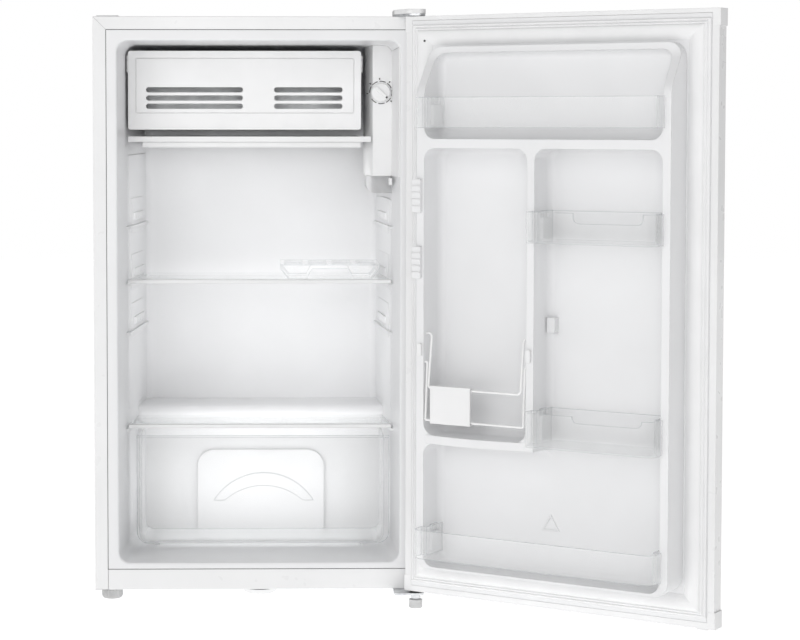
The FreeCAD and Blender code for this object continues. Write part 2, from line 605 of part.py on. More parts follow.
def door_bays(grow):
    return [door_bay(INNER_LEFT, INNER_RIGHT, "676", "dyke_high - 9", grow),
            door_bay(INNER_LEFT, "rib_left", "262", "663", grow),
            door_bay("rib_right", INNER_RIGHT, "76", "663", grow),
            door_bay(INNER_LEFT, INNER_RIGHT, "76", "250", grow)]


def rack_rests():
    """Bosses on the pocket walls that the racks hook over."""
    rests = []
    for left, right, low, high in RACKS.values():
        for across in ((left, f"{left} + 5"), (f"{right} - 5", right)):
            rests.append(door_box(across, ("bay_floor + 4", "32"), (f"{low + 4}", f"{high - 10}")))
    return rests


def door_body():
    sides = "cap_proud"
    low, high = "door_low + cap_height", "door_high - cap_height"
    outer = door_slab(sides, "0.6", (low, high))
    back = door_box((sides, f"2 * half_width - {sides}"), ("-2.01", "0"), (low, high))
    inner = door_slab(f"{sides} + 1", "1.6", (f"{low} - 1", f"{high} + 1"))
    hollow = door_box((f"{sides} + 1", f"2 * half_width - {sides} - 1"), ("-2.02", "-1"),
                      (f"{low} - 1", f"{high} + 1"))
    window = door_box(("skin_lip", "2 * half_width - skin_lip"), ("-3", "1"), (f"{low} - 1", f"{high} + 1"))
    node("door_skin", cut(fuse(outer, back), inner, hollow, window), door=True)

    bush_hole = "7"
    caps = (("door_top_cap", "door_high", high, -1, "6"), ("door_bottom_cap", "door_low", low, 1, "8.6"))
    for name, end, seam, way, lip in caps:
        low_z, high_z = sorted((end, seam), key=size)
        block = fuse(door_slab("0", "0", (low_z, high_z)),
                     door_box(("0", "2 * half_width"), ("-2.01", "0"), (low_z, high_z)))
        open_low, open_high = sorted((f"{end} + {3 * way}", f"{seam} + {way}"), key=size)
        room = fuse(door_slab("3", "3", (open_low, open_high)),
                    door_box(("3", "2 * half_width - 3"), ("-2.01", "-2"), (open_low, open_high)))
        edge_low, edge_high = sorted((f"{end} + {way} * {lip}", f"{seam} + {way}"), key=size)
        view = door_box(("skin_lip", "2 * half_width - skin_lip"), ("-2.5", "1"), (edge_low, edge_high))
        bore = rod(PIN_X, PIN_Y, f"{end} - 20", bush_hole, "40")
        cap = cut(block, room, view, bore)
        if way > 0:
            stop = door_box(("24", "52"), ("-22", "-8"), ("door_low - 2", "door_low + 0.1"))
            catch = door_box(("447", "461"), ("-20", "-6"), ("door_low - 3.4", "door_low + 0.1"))
            cap = fuse(cap, stop, catch)
        node(name, cap, door=True)
    bushes = [cut(rod(PIN_X, PIN_Y, z, bush_hole, "12.2"),
                  rod(PIN_X, PIN_Y, f"{z} - 1", "pin_radius + running_gap", "15"))
              for z in ("door_low", "door_high - 13.2")]
    node("hinge_bushes", group(*bushes), door=True)

    plate = door_box(("skin_lip + 0.2", "2 * half_width - skin_lip - 0.2"), ("-2", "0"),
                     ("door_low + 8.8", "door_high - 6.2"))
    core = cut(dyke("liner_wall"), *door_bays("liner_wall"))
    frame = cut(fuse(plate, dyke("0")), *door_bays("0"))
    pads = [rounded(door_box(("41.8", "56"), ("46", "55"), (low, high)), "2.5", along("y"))
            for low, high in (("573", "620"), ("481", "526"))]
    boss = door_box(("232", "244"), ("bay_floor - 1", "14"), ("411", "432"))
    bow = common(rod("half_width - (dyke_out + rail + rib_left) / 2", "59 - seal_gap - 335", "250", "335",
                     "12"),
                 door_box((f"{INNER_LEFT} - 2", "rib_left + 2"), ("dyke_rise - 4", "60"), ("249", "263")))
    node("door_liner", cut(fuse(frame, boss, bow, *pads, *rack_rests()), core), door=True)

    fill = door_slab(f"{sides} + 3", "3.6", ("door_low + 3", "door_high - 3"))
    bores = [rod(PIN_X, PIN_Y, z, "7", "40") for z in ("door_low - 20", "door_high - 20")]
    node("door_foam", fuse(cut(fill, *bores), core), door=True)

    ring = door_box(("12.6", "2 * half_width - 12.6"), ("0", "seal_rise"), ("41", "836.4"))
    sloped = rounded(ring, "2.2", lambda edge: edge.BoundBox.YLength < 0.01
                     and edge.CenterOfMass.y > size("seal_rise - seal_gap - 0.1"))
    window = door_box(("44", "2 * half_width - 44"), ("-1", "9"), ("69", "808"))
    node("door_gasket", cut(sloped, window), door=True)


def rack(name, left, right, low, high):
    """A clear rack or guard bar that hooks over the door's bosses and lifts off."""
    wall, reach = "clear_wall", "rack_reach"
    shelved = name.endswith("rack")
    base = f"{low}"
    floor = f"{base} + {wall}" if shelved else f"{base} - 1"
    back = "bay_floor + 3"
    inner_back = f"{back} + {wall}" if shelved else f"{back} - 1"
    narrow = (f"{left} + 5.4", f"{right} - 5.4")
    wide = (f"{left} - 3", f"{right} + 3")
    rear = door_box(narrow, (back, "dyke_rise + 3"), (base, f"{high}"))
    front = rounded(door_box(wide, ("dyke_rise + 0.5", reach), (base, f"{high}")), "15",
                    along("z", lambda centre: centre.y > size(f"{reach} - seal_gap - 1")))
    rear_room = door_box((f"{narrow[0]} + {wall}", f"{narrow[1]} - {wall}"), (inner_back, "dyke_rise + 5"),
                         (floor, f"{high + 1}"))
    front_room = rounded(door_box((f"{wide[0]} + {wall}", f"{wide[1]} - {wall}"),
                                  (f"dyke_rise + 0.5 + {wall}", f"{reach} - {wall}"), (floor, f"{high + 1}")),
                         "12.8", along("z", lambda centre: centre.y > size(f"{reach} - seal_gap - 5")))
    tools = [rear_room, front_room]
    if shelved:
        drop = 14 if name == "middle_rack" else 9
        scoop = door_box((f"{left} + 72", f"{right} - 14"), ("dyke_rise + 8", f"{reach} + 1"),
                         (f"{high - drop}", f"{high + 12}"))
        tools.append(rounded(scoop, "8", along("y", lambda centre: centre.z < high)))
    hooks = [door_box(across, ("bay_floor + 10", "32"), (f"{high - 9.7}", f"{high}"))
             for across in ((f"{left} + 0.5", f"{left} + 5.5"), (f"{right} - 5.5", f"{right} - 0.5"))]
    node(name, fuse(cut(fuse(rear, front), *tools), *hooks), door=True)


def door_point(across, rise, height):
    return FreeCAD.Vector(size("half_width") - across, rise - size("seal_gap"), height)


def bottle_holder():
    wall_left, wall_right = size(INNER_LEFT), size("rib_left")
    loops = []
    for inset, rise, top, low in ((8, 40, 404, 328), (3.5, 45, 364, 283)):
        inner = (wall_left + inset, wall_right - inset)
        route = [(wall_left, rise, top), (inner[0], rise, top), (inner[0], 50, low), (inner[1], 50, low),
                 (inner[1], rise, top), (wall_right, rise, top)]
        loops.append(tube([door_point(*place) for place in route], 1.7, 1.6 if inset < 5 else 5))
    node("bottle_wires", group(*loops), door=True)
    clips = [door_box(across, ("dyke_rise", "dyke_rise + 4"), ("372", "390"))
             for across in ((f"{INNER_LEFT} - 9", f"{INNER_LEFT} - 2"), ("rib_left + 1", "rib_left + 8"))]
    node("wire_clips", group(*[rounded(clip, "2", along("y")) for clip in clips]), door=True)
    plate = door_box(("72", "135"), ("52.4", "54.8"), ("279", "332"))
    hooks = [door_box(("72", "135"), ("46", "54"), height) for height in (("330.4", "332"), ("279", "280.6"))]
    node("bottle_slider", fuse(plate, *hooks), door=True)


def swing_door():
    """Turns every door piece about the hinge pin, from closed to the pose it rests in."""
    for item in CLOSED_DOOR:
        item.Placement = FreeCAD.Placement(FreeCAD.Vector(), FreeCAD.Rotation(UP, size("door_swing")))
        at(item, f"{PIN_X} * (1 - cos(door_swing)) + {PIN_Y} * sin(door_swing)",
           f"{PIN_Y} * (1 - cos(door_swing)) - {PIN_X} * sin(door_swing)", "0")


def build():
    cabinet_case()
    food_liner()
    cooling_unit()
    feet()
    hinges()
    freezer()
    thermostat()
    shelf("upper_shelf", "upper_shelf_top", "252")
    shelf("crisper_cover", "crisper_top", "190")
    crisper_drawer()
    egg_tray()
    door_body()
    for name, place in RACKS.items():
        rack(name, *place)
    bottle_holder()
    swing_door()
    doc.recompute()


def export():
    for item in doc.Objects:
        if {"Invalid", "Error"} & set(item.State):
            raise RuntimeError(f"{item.Label} ({item.Name}) failed: {item.State}")
    for name, item in NODES.items():
        if item.Shape.isNull() or not item.Shape.isValid() or not item.Shape.Solids:
            raise RuntimeError(f"{name} has no valid solid")
    os.makedirs("parts", exist_ok=True)
    for name, item in NODES.items():
        item.Shape.exportStep(f"parts/{name}.step")
        box_mm = item.Shape.BoundBox
        print(f"{name}: {len(item.Shape.Solids)} solid(s), {item.Shape.Volume / 1000:.1f} cm3, "
              f"x {box_mm.XMin:.0f}..{box_mm.XMax:.0f} y {box_mm.YMin:.0f}..{box_mm.YMax:.0f} "
              f"z {box_mm.ZMin:.0f}..{box_mm.ZMax:.0f}")


build()
export()
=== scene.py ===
"""Looks of the mini fridge: materials, fine details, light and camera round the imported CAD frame.

Lengths are metres in the frame of the CAD model: +X right, +Y into the cabinet, +Z up. Door details
are laid out in millimetres of door measures (across from the hinge side, rise towards the food, height)
and turned into place.
"""

import json
import math

import bmesh
import bpy
from mathutils import Matrix, Vector


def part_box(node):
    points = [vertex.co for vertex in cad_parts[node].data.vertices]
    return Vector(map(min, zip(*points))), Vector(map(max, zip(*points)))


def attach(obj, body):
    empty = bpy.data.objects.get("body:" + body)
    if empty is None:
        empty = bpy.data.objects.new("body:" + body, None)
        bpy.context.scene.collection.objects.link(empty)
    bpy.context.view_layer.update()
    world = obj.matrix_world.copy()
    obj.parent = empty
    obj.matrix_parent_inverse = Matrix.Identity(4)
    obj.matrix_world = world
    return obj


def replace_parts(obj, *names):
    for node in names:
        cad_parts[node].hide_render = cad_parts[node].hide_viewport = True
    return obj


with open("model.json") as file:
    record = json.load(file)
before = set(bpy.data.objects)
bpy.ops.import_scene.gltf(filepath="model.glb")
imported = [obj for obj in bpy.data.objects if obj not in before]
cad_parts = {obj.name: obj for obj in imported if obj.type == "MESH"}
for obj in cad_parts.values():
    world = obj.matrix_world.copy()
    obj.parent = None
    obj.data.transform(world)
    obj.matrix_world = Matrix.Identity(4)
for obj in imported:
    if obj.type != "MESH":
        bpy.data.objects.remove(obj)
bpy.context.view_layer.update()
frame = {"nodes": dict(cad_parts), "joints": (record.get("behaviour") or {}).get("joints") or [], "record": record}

MM = 0.001
HALF_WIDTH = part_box("outer_shell")[1].x
SEAL_GAP = 6 * MM
KNOB_PROUD = 7 * MM     # how far the knob stands out of its housing's face
PAINT = 0.15 * MM       # how far printed marks and dark lines stand proud
HINGE = next(joint for joint in frame["joints"] if joint["name"] == "door_hinge")
PIN = Vector(HINGE["pos_m"])
OPENED = Matrix.Rotation(math.radians(-HINGE["range_deg"][0]), 3, "Z")


# ---------- materials ----------

class Finish:
    """A node material in the making, with the object's own metres as its coordinates."""

    def __init__(self, name, roughness, metallic=0.0, ior=1.46):
        self.material = bpy.data.materials.new(name)
        self.material.use_nodes = True
        self.nodes = self.material.node_tree.nodes
        self.links = self.material.node_tree.links
        self.shader = self.nodes["Principled BSDF"]
        self.place = self.nodes.new("ShaderNodeTexCoord").outputs["Object"]
        self.shader.inputs["Metallic"].default_value = metallic
        self.shader.inputs["IOR"].default_value = ior
        self.shader.inputs["Roughness"].default_value = roughness

    def noise(self, per_metre, detail=2.0, stretch=(1, 1, 1)):
        """A noise of so many cells in a metre."""
        place = self.place
        if stretch != (1, 1, 1):
            scaling = self.nodes.new("ShaderNodeMapping")
            scaling.inputs["Scale"].default_value = stretch
            self.links.new(place, scaling.inputs["Vector"])
            place = scaling.outputs["Vector"]
        texture = self.nodes.new("ShaderNodeTexNoise")
        texture.inputs["Scale"].default_value = per_metre
        texture.inputs["Detail"].default_value = detail
        self.links.new(place, texture.inputs["Vector"])
        return texture.outputs["Fac"]

    def cells(self, per_metre):
        texture = self.nodes.new("ShaderNodeTexVoronoi")
        texture.inputs["Scale"].default_value = per_metre
        self.links.new(self.place, texture.inputs["Vector"])
        return texture

    def colour(self, pattern, low, high, start=0.35, end=0.65):
        """The base colour runs from low to high as the pattern does."""
        ramp = self.nodes.new("ShaderNodeValToRGB")
        ramp.color_ramp.elements[0].position = start
        ramp.color_ramp.elements[0].color = (*low, 1)
        ramp.color_ramp.elements[1].position = end
        ramp.color_ramp.elements[1].color = (*high, 1)
        self.links.new(pattern, ramp.inputs["Fac"])
        self.links.new(ramp.outputs["Color"], self.shader.inputs["Base Color"])

    def roughness(self, pattern, low, high):
        self.links.new(self.spread(pattern, low, high), self.shader.inputs["Roughness"])

    def bump(self, pattern, height, strength=1.0, edge=0.0):
        """Height in metres of the pattern's relief, and how far the edges are eased in shading."""
        relief = self.nodes.new("ShaderNodeBump")
        if edge:
            easing = self.nodes.new("ShaderNodeBevel")
            easing.samples = 4
            easing.inputs["Radius"].default_value = edge
            self.links.new(easing.outputs["Normal"], relief.inputs["Normal"])
        relief.inputs["Distance"].default_value = height
        relief.inputs["Strength"].default_value = strength
        self.links.new(pattern, relief.inputs["Height"])
        self.links.new(relief.outputs["Normal"], self.shader.inputs["Normal"])

    def see_through(self, facing, edge_on, rim=0.0):
        """Lets what is behind show, less so where the surface is seen edge-on or near one of its edges; with a rim
        it also paints a dark line along the edges as shade.
        """
        slant = self.nodes.new("ShaderNodeLayerWeight")
        slant.inputs["Blend"].default_value = 0.3
        alpha = self.spread(slant.outputs["Facing"], facing, edge_on)
        if rim:
            easing = self.nodes.new("ShaderNodeBevel")
            easing.samples = 6
            easing.inputs["Radius"].default_value = rim
            surface = self.nodes.new("ShaderNodeNewGeometry")
            match = self.nodes.new("ShaderNodeVectorMath")
            match.operation = "DOT_PRODUCT"
            self.links.new(easing.outputs["Normal"], match.inputs[0])
            self.links.new(surface.outputs["Normal"], match.inputs[1])
            painted_edge_shade_mask = self.spread(match.outputs["Value"], 1.0, 0.0, 0.75, 0.99)
            higher = self.nodes.new("ShaderNodeMath")
            higher.operation = "MAXIMUM"
            self.links.new(alpha, higher.inputs[0])
            self.links.new(self.spread(painted_edge_shade_mask, 0.0, 0.85), higher.inputs[1])
            alpha = higher.outputs["Value"]
            # painted shade: the colour turns dark grey near the edges, standing in for the dark lines that
            # refraction makes at clear plastic edges
            self.colour(painted_edge_shade_mask, (0.95, 0.96, 0.965), (0.34, 0.36, 0.38), 0.1, 0.9)
        self.links.new(alpha, self.shader.inputs["Alpha"])

    def spread(self, pattern, low, high, start=0.0, end=1.0):
        """The pattern's values from start to end, mapped on to low to high."""
        spread = self.nodes.new("ShaderNodeMapRange")
        for name, value in (("From Min", start), ("From Max", end), ("To Min", low), ("To Max", high)):
            spread.inputs[name].default_value = value
        self.links.new(pattern, spread.inputs["Value"])
        return spread.outputs["Result"]

    def set(self, **values):
        for name, value in values.items():
            self.shader.inputs[name.replace("_", " ")].default_value = value
        return self.material


def shade(value, tint=0.0):
    """A neutral colour, a little bluer with more tint."""
    return value * (1 - tint), value * (1 - tint * 0.8), value


def white_steel():
    made = Finish("white_steel", 0.3)
    made.colour(made.noise(9), shade(0.80, 0.004), shade(0.83, 0.004))
    made.roughness(made.noise(40), 0.24, 0.34)
    made.bump(made.noise(420, 1), 0.00001)
    return made.set(Coat_Weight=0.2, Coat_Roughness=0.12)


def liner_plastic():
    made = Finish("liner_plastic", 0.35, ior=1.5)
    made.colour(made.noise(7), shade(0.79, 0.012), shade(0.82, 0.012))
    made.roughness(made.noise(30), 0.3, 0.4)
    made.bump(made.noise(130, 3), 0.00006, edge=1.6 * MM)
    return made.material


def light_plastic():
    made = Finish("light_plastic", 0.4, ior=1.5)
    made.colour(made.noise(14), shade(0.81, 0.004), shade(0.84, 0.004))
    made.roughness(made.noise(60), 0.34, 0.46)
    made.bump(made.noise(900, 2), 0.00002, edge=1.2 * MM)
    return made.material


def grey_plastic():
    made = Finish("grey_plastic", 0.45)
    made.colour(made.noise(60), shade(0.52), shade(0.6))
    made.bump(made.noise(700), 0.00003)
    return made.material


def black_plastic():
    made = Finish("black_plastic", 0.5)
    made.colour(made.noise(50), shade(0.02), shade(0.035))
    made.roughness(made.noise(90), 0.42, 0.58)
    made.bump(made.noise(1200), 0.00003)
    return made.material


def bush_plastic():
    made = Finish("bush_plastic", 0.4)
    made.colour(made.noise(80), shade(0.7), shade(0.76))
    made.bump(made.noise(900), 0.00002)
    return made.material


def black_rubber():
    made = Finish("black_rubber", 0.75)
    made.colour(made.noise(90), shade(0.018), shade(0.03))
    made.bump(made.noise(1500, 3), 0.00004)
    return made.material


def seal_rubber():
    made = Finish("seal_rubber", 0.55)
    made.colour(made.noise(20), shade(0.83, 0.006), shade(0.86, 0.006))
    made.roughness(made.noise(70), 0.48, 0.62)
    made.bump(made.noise(1100, 2), 0.00003)
    return made.set(Sheen_Weight=0.1)


def zinc_steel():
    made = Finish("zinc_steel", 0.35, metallic=1.0)
    spangle = made.cells(120)
    made.colour(spangle.outputs["Distance"], (0.56, 0.57, 0.59), (0.74, 0.75, 0.76), 0.1, 0.7)
    made.roughness(spangle.outputs["Distance"], 0.28, 0.46)
    made.bump(made.noise(300), 0.00003)
    return made.material


def black_steel():
    made = Finish("black_steel", 0.38)
    made.colour(made.noise(40), shade(0.012), shade(0.022))
    made.roughness(made.noise(80), 0.3, 0.48)
    made.bump(made.noise(600), 0.00003)
    return made.material


def screw_steel():
    made = Finish("screw_steel", 0.25, metallic=1.0)
    made.colour(made.noise(200), (0.66, 0.67, 0.69), (0.78, 0.79, 0.8))
    made.roughness(made.noise(400), 0.2, 0.36)
    return made.material


def foam():
    made = Finish("foam", 0.9)
    made.colour(made.noise(60, 4), (0.66, 0.55, 0.32), (0.78, 0.68, 0.44))
    made.bump(made.cells(700).outputs["Distance"], 0.0003)
    return made.material


def copper():
    made = Finish("copper", 0.3, metallic=1.0)
    made.colour(made.noise(60, 3), (0.58, 0.28, 0.16), (0.78, 0.45, 0.3))
    made.roughness(made.noise(120), 0.22, 0.45)
    made.bump(made.noise(500), 0.00003)
    return made.material


def aluminium():
    made = Finish("aluminium", 0.36, metallic=1.0)
    made.colour(made.noise(30, 3, (1, 20, 1)), (0.68, 0.69, 0.7), (0.8, 0.81, 0.82))
    made.roughness(made.noise(90, 3, (1, 20, 1)), 0.3, 0.44)
    made.bump(made.noise(260), 0.00005)
    return made.material


def diffuser():
    made = Finish("diffuser", 0.35)
    made.colour(made.noise(30), shade(0.82, 0.01), shade(0.86, 0.01))
    made.bump(made.noise(500), 0.00005)
    return made.set(Transmission_Weight=0.55)


def bulb_glass():
    made = Finish("bulb_glass", 0.05, ior=1.5)
    made.colour(made.noise(40), shade(0.93), shade(0.96))
    return made.set(Transmission_Weight=0.9)


def white_wire():
    made = Finish("white_wire", 0.22)
    made.colour(made.noise(30), shade(0.83), shade(0.87))
    made.bump(made.noise(300), 0.00005)
    return made.set(Coat_Weight=0.4, Coat_Roughness=0.1)


def clear_plastic():
    made = Finish("clear_plastic", 0.06, ior=1.45)
    made.roughness(made.noise(50), 0.04, 0.12)
    made.bump(made.noise(60), 0.00008)
    # the rim also paints dark shade lines along the edges
    made.see_through(0.07, 0.6, rim=1.8 * MM)
    return made.material


def shelf_glass():
    made = Finish("shelf_glass", 0.02, ior=1.5)
    made.colour(made.noise(6), (0.9, 0.95, 0.94), (0.92, 0.965, 0.955))
    made.roughness(made.noise(40), 0.01, 0.05)
    made.see_through(0.1, 0.6)
    return made.set(Transmission_Weight=0.9)


MATERIALS = {make.__name__: make() for make in (
    white_steel, liner_plastic, light_plastic, grey_plastic, black_plastic, bush_plastic, black_rubber,
    seal_rubber, zinc_steel, black_steel, screw_steel, foam, copper, aluminium, diffuser, bulb_glass,
    white_wire, clear_plastic, shelf_glass)}


def dress_cad():
    """Every carried-over CAD node gets the material of its slot."""
    for part in frame["record"]["subparts"]:
        node = frame["nodes"][part["node"]]
        node.data.materials.clear()
        node.data.materials.append(MATERIALS[part["material_slot"]])


# ---------- fine details ----------

def door_point(across, rise, height):
    """A place on the open door, from millimetres in door measures."""
    closed = Vector((HALF_WIDTH - across * MM, rise * MM - SEAL_GAP, height * MM))
    return OPENED @ (closed - PIN) + PIN


def piece(name, vertices, faces, slot, body, smooth=False):
    """A mesh in the model's frame that moves with a body."""
    mesh = bpy.data.meshes.new(name)
    mesh.from_pydata([tuple(vertex) for vertex in vertices], [], faces)
    shape = bmesh.new()
    shape.from_mesh(mesh)
    bmesh.ops.recalc_face_normals(shape, faces=shape.faces)
    shape.to_mesh(mesh)
    shape.free()
    mesh.materials.append(MATERIALS[slot])
    if smooth:
        mesh.shade_smooth()
    made = bpy.data.objects.new(name, mesh)
    bpy.context.scene.collection.objects.link(made)
    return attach(made, body)


BLOCK_FACES = [(0, 1, 3, 2), (4, 6, 7, 5), (0, 4, 5, 1), (2, 3, 7, 6), (0, 2, 6, 4), (1, 5, 7, 3)]


def block_corners(low, high):
    return [(x, y, z) for x in (low[0], high[0]) for y in (low[1], high[1]) for z in (low[2], high[2])]


def blocks(name, boxes, slot, body, place=None):
    """Several plain blocks as one piece; place turns each corner into the model's frame."""
    vertices, faces = [], []
    for low, high in boxes:
        start = len(vertices)
        vertices += [place(*corner) if place else corner for corner in block_corners(low, high)]
        faces += [tuple(start + index for index in face) for face in BLOCK_FACES]
    return piece(name, vertices, faces, slot, body)


def drum_faces(count):
    """Faces between two like outlines of so many points, and over both of them."""
    ends = [tuple(range(count)), tuple(range(count, 2 * count))]
    return ends + [(i, (i + 1) % count, (i + 1) % count + count, i + count) for i in range(count)]


def tube_faces(first, second):
    """The four faces between two square sections whose corners start at these places."""
    return [(first + a, first + b, second + b, second + a) for a, b in ((0, 1), (1, 3), (3, 2), (2, 0))]


def gasket():
    """The door's magnetic seal: a lip, a groove and a soft bulb, mitred at its corners."""
    low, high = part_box("door_gasket")
    inset, side_width, end_width = 12.6, 31.4, 28.2
    lip = [(0, 0.1), (0, 1.7), (0.03, 2.5), (0.08, 2.7)]
    groove = [(0.105, 1.1), (0.13, 1.0)]
    bead = [(0.15, 2.8), (0.19, 3.9), (0.215, 4.1), (0.235, 2.9), (0.26, 2.8)]
    bulb = [(0.28, 4.2), (0.36, 5.1), (0.48, 5.5), (0.6, 5.4), (0.72, 4.7), (0.82, 3.5), (0.9, 2.1),
            (0.96, 1.1), (1, 0.1)]
    profile = lip + groove + bead + bulb
    vertices, faces = [], []
    for edge in range(4):
        start = len(vertices)
        for across, rise in profile:
            left = inset + across * side_width
            right = 2 * HALF_WIDTH / MM - inset - across * side_width
            bottom = low.z / MM + across * end_width
            top = high.z / MM - across * end_width
            corners = [(left, bottom), (right, bottom), (right, top), (left, top)]
            for u, height in (corners[edge], corners[(edge + 1) % 4]):
                vertices.append(door_point(u, rise, height))
        for step in range(len(profile) - 1):
            first = start + 2 * step
            faces.append((first, first + 1, first + 3, first + 2))
    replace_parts(piece("gasket_bulb", vertices, faces, "seal_rubber", "door", smooth=True), "door_gasket")


def gap_shade_and_seams():
    """A black strip along the joint between the steel wrap and the liner, painted as the shade in its thin gap,
    and the wrap's mitred front corners.
    """
    low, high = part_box("inner_liner")
    wide, proud, deep = 0.7 * MM, 0.12 * MM, 1.0 * MM
    front, back = -proud, deep
    left, right = (low.x - wide, low.x), (high.x, high.x + wide)
    # painted shade: this black strip stands in for the shade in the thin gap where the wrap meets the liner
    blocks("liner_gap_shade", [((left[0], front, low.z), (left[1], back, high.z)),
                          ((right[0], front, low.z), (right[1], back, high.z)),
                          ((left[0], front, high.z), (right[1], back, high.z + wide)),
                          ((left[0], front, low.z - wide), (right[1], back, low.z))],
           "black_plastic", "cabinet")
    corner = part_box("outer_shell")[1]
    half, short_of_corner = 0.35 * MM, 1.2 * MM
    for name, sign in (("mitre_seam_left", -1), ("mitre_seam_right", 1)):
        start = Vector((sign * (corner.x - short_of_corner), 0, corner.z - short_of_corner))
        end = Vector((sign * high.x, 0, high.z))
        side = Vector((end.z - start.z, 0, start.x - end.x)).normalized() * half
        ring = [start - side, start + side, end + side, end - side]
        vertices = [Vector((point.x, depth, point.z)) for depth in (front, back) for point in ring]
        piece(name, vertices, drum_faces(4), "grey_plastic", "cabinet")


def arc_band(centre, inner, outer, start, end, front, back):
    """Vertices and faces of a flat band on a circle in the XZ plane."""
    degrees_a_step = 6
    steps = max(2, int(abs(end - start) / degrees_a_step))
    vertices, faces = [], []
    for step in range(steps + 1):
        angle = math.radians(start + (end - start) * step / steps)
        for radius in (inner, outer):
            for depth in (front, back):
                vertices.append((centre.x + radius * math.cos(angle), depth,
                                 centre.z + radius * math.sin(angle)))
    for step in range(steps):
        faces += tube_faces(4 * step, 4 * step + 4)
    faces += [(0, 1, 3, 2), (4 * steps, 4 * steps + 1, 4 * steps + 3, 4 * steps + 2)]
    return vertices, faces


def dial_marks():
    """Printed arcs and ticks round the thermostat knob."""
    low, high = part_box("thermostat_knob")
    centre, radius = (low + high) / 2, (high.x - low.x) / 2
    face = low.y + KNOB_PROUD
    arc_ring = (radius + 1.6 * MM, radius + 2.8 * MM)
    tick_ring = (radius + 4.4 * MM, radius + 7 * MM)
    marks = [(*arc_ring, angle + 5, angle + 37) for angle in range(-150, 150, 42)]
    marks += [(*tick_ring, angle - 2.5, angle + 2.5) for angle in range(-40, 230, 45)]
    vertices, faces = [], []
    for inner, outer, start, end in marks:
        more, more_faces = arc_band(centre, inner, outer, start, end, face - PAINT, face + 2 * PAINT)
        faces += [tuple(index + len(vertices) for index in one) for one in more_faces]
        vertices += more
    piece("dial_marks", vertices, faces, "black_plastic", "cabinet")


def knob_grip():
    """The slanted grip bar across the knob, tapered towards its face, with a dark pointer at one end."""
    low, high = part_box("thermostat_knob")
    centre, radius = (low + high) / 2, (high.x - low.x) / 2
    lean, taper = math.radians(-42), 0.93
    reach, half, proud, sunk = radius * 0.86, 2.6 * MM, 3.2 * MM, 0.4 * MM
    ring = []
    for end in (1, -1):
        for step in range(9):
            angle = math.radians(-90 + 22.5 * step)
            along, aside = end * (reach - half + half * math.cos(angle)), end * half * math.sin(angle)
            ring.append((along * math.cos(lean) - aside * math.sin(lean),
                         along * math.sin(lean) + aside * math.cos(lean)))
    vertices = [(centre.x + x * scale, depth, centre.z + z * scale)
                for depth, scale in ((low.y + sunk, 1), (low.y - proud, taper)) for x, z in ring]
    grip = piece("knob_grip", vertices, drum_faces(len(ring)), "light_plastic", "thermostat_knob")
    bevel = grip.modifiers.new("eased", "BEVEL")
    bevel.width, bevel.segments = 0.7 * MM, 3

    from_centre, dot_radius, half_thick = radius - 3.4 * MM, 1.5 * MM, 0.2 * MM
    tip = centre + from_centre * Vector((math.cos(lean), 0, math.sin(lean)))
    face = low.y - proud
    dot, dot_faces = arc_band(tip, 0, dot_radius, 0, 360, face - half_thick, face + half_thick)
    piece("knob_pointer", dot, dot_faces, "black_plastic", "thermostat_knob")


def liner_mark():
    """A plain raised triangle low on the door liner, with sloped sides."""
    middle, height, half_width, half_height, floor = 234.8, 147, 13.5, 11.5, 3
    sunk, proud, slope, centroid = 0.5, 0.9, 0.72, height - 3.2
    foot = height - half_height
    corners = [(middle - half_width, foot), (middle + half_width, foot), (middle, height + half_height)]
    inner = [(middle + (u - middle) * slope, centroid + (z - centroid) * slope) for u, z in corners]
    vertices = [door_point(u, rise, z) for ring in (corners, inner)
                for rise in (floor - sunk, floor + proud) for u, z in ring]
    faces = []
    for i in range(3):
        j = (i + 1) % 3
        outer_wall, inner_wall = (i, j, j + 3, i + 3), (i + 6, j + 6, j + 9, i + 9)
        top, foot_ring = (i + 3, j + 3, j + 9, i + 9), (i, j, j + 6, i + 6)
        faces += [outer_wall, inner_wall, top, foot_ring]
    piece("liner_mark", vertices, faces, "liner_plastic", "door")


def seal_hole_shade():
    """A black plug painted as the shade inside the small hole in the seal's upper corner by the hinge."""
    across, height, rise, depth, radius, count = 34, 813.7, 5.7, 1.5, 1.5, 16
    turns = [math.tau * step / count for step in range(count)]
    ring = [(across + radius * math.cos(turn), height + radius * math.sin(turn)) for turn in turns]
    vertices = [door_point(u, level, z) for level in (rise - depth, rise) for u, z in ring]
    # painted shade: the black drum stands in for the dark inside of the hole
    piece("seal_hole_shade", vertices, drum_faces(count), "black_plastic", "door")


def pad_ribs():
    """Fine ribs across the two catch pads on the hinge side of the door liner."""
    pads, spaces, half = ((573, 620), (481, 526)), 5, 0.9
    left, right, sunk, proud = 42.6, 55.2, 54.6, 55.8
    ribs = []
    for low, high in pads:
        for step in range(1, spaces):
            height = low + (high - low) * step / spaces
            ribs.append(((left, sunk, height - half), (right, proud, height + half)))
    blocks("pad_ribs", ribs, "liner_plastic", "door", door_point)


def foot_flutes():
    """Flutes round the grip of the left levelling foot."""
    low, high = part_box("front_left_foot")
    centre, radius = (low + high) / 2, (high.x - low.x) / 2
    count, half, bottom, top = 20, 0.9 * MM, low.z + 3 * MM, low.z + 14 * MM
    flutes = []
    for step in range(count):
        angle = math.tau * step / count
        x, y = centre.x + radius * math.cos(angle), centre.y + radius * math.sin(angle)
        flutes.append(((x - half, y - half, bottom), (x + half, y + half, top)))
    blocks("foot_flutes", flutes, "grey_plastic", "front_left_foot")


